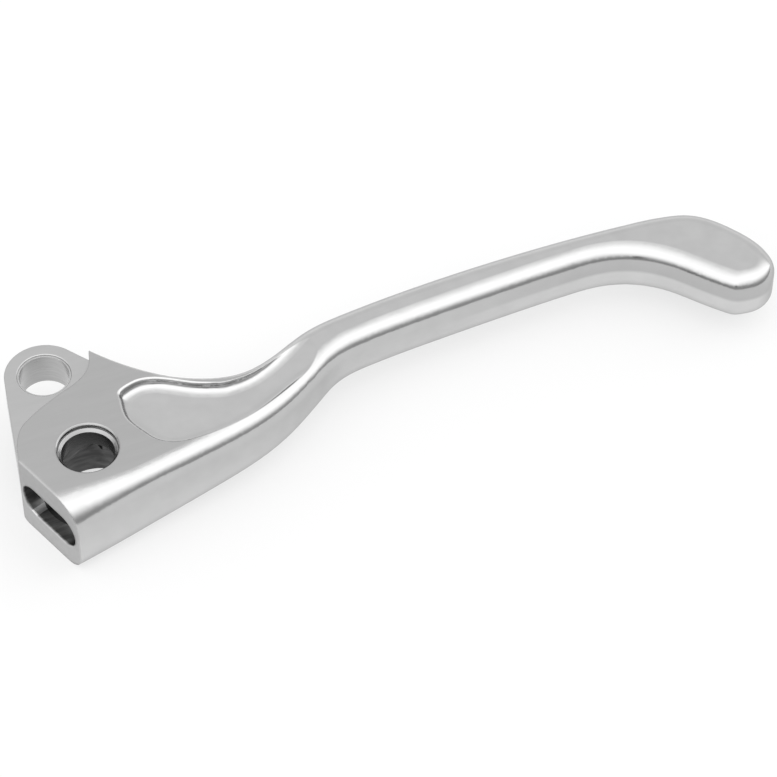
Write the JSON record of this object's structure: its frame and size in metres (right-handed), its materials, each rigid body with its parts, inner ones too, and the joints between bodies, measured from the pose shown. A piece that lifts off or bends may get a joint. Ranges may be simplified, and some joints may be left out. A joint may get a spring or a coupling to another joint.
{
  "type": "clutch lever",
  "caption": "Bare hand lever with a flat pivot tab, a cable slot and anchor hole in the head, a shallow scallop and a curved blade ending in a rounded finger rest",
  "frame": {"origin": "on the pivot axis, halfway through the thickness of the pivot tab", "axes": "+Z along the pivot axis, out of the face with the scallop; +X along the blade towards the finger end; +Y from the cable anchor towards the pivot"},
  "size_m": [0.1734, 0.0512, 0.0196],
  "materials": {
    "lever_body": "polished",
    "bush": "satin"
  },
  "bodies": {
    "root": {"lever_body": "lever_body", "pivot_bush": "bush", "anchor_bush": "bush"}
  },
  "joints": []
}
